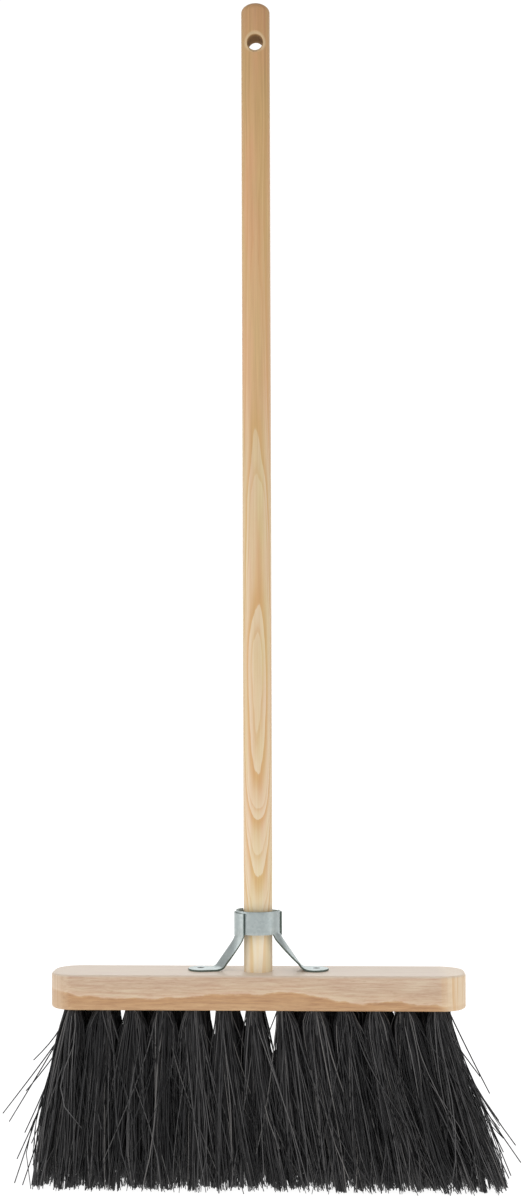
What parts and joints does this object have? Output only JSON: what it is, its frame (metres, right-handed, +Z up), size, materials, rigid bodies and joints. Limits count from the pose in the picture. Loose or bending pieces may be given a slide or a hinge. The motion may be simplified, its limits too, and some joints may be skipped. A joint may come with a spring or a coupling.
{
  "type": "push broom",
  "caption": "Push broom: beech block filled with long dark plant-fibre tufts, round wooden handle with a hanging hole, held upright by a two-part sheet-steel stay.",
  "frame": {"origin": "on the floor under the middle of the handle, at the level of the fibre tips", "axes": "+Z up along the handle, +X to the right along the block, -Y towards the viewer of the front"},
  "size_m": [0.4614, 0.1074, 1.151],
  "materials": {
    "handle_wood": "turned softwood, thin clear varnish, satin",
    "block_wood": "planed and sanded beech, untreated",
    "galvanised_steel": "zinc-plated sheet, dull bluish grey",
    "screw_steel": "dark zinc-plated wood screw",
    "staple_wire": "bright flat steel wire",
    "fibre": "stiff near-black plant fibre, slightly glossy strands"
  },
  "bodies": {
    "head": {"block": "block_wood", "stay_left": "galvanised_steel", "stay_right": "galvanised_steel", "stay_screws": "screw_steel", "tuft_staples": "staple_wire", "front_tuft_01": "fibre", "front_tuft_02": "fibre", "front_tuft_03": "fibre", "front_tuft_04": "fibre", "front_tuft_05": "fibre", "front_tuft_06": "fibre", "front_tuft_07": "fibre", "front_tuft_08": "fibre", "front_tuft_09": "fibre", "front_tuft_10": "fibre", "front_tuft_11": "fibre", "front_tuft_12": "fibre", "front_tuft_13": "fibre", "middle_tuft_01": "fibre", "middle_tuft_02": "fibre", "middle_tuft_03": "fibre", "middle_tuft_04": "fibre", "middle_tuft_05": "fibre", "middle_tuft_06": "fibre", "middle_tuft_08": "fibre", "middle_tuft_09": "fibre", "middle_tuft_10": "fibre", "middle_tuft_11": "fibre", "middle_tuft_12": "fibre", "middle_tuft_13": "fibre", "back_tuft_01": "fibre", "back_tuft_02": "fibre", "back_tuft_03": "fibre", "back_tuft_04": "fibre", "back_tuft_05": "fibre", "back_tuft_06": "fibre", "back_tuft_07": "fibre", "back_tuft_08": "fibre", "back_tuft_09": "fibre", "back_tuft_10": "fibre", "back_tuft_11": "fibre", "back_tuft_12": "fibre", "back_tuft_13": "fibre"},
    "handle": {"handle": "handle_wood"}
  },
  "joints": [
    {"name": "handle_pull", "type": "slide", "parent": "head", "child": "handle", "axis": [0, 0, 1], "range_m": [0, 0.085]}
  ]
}
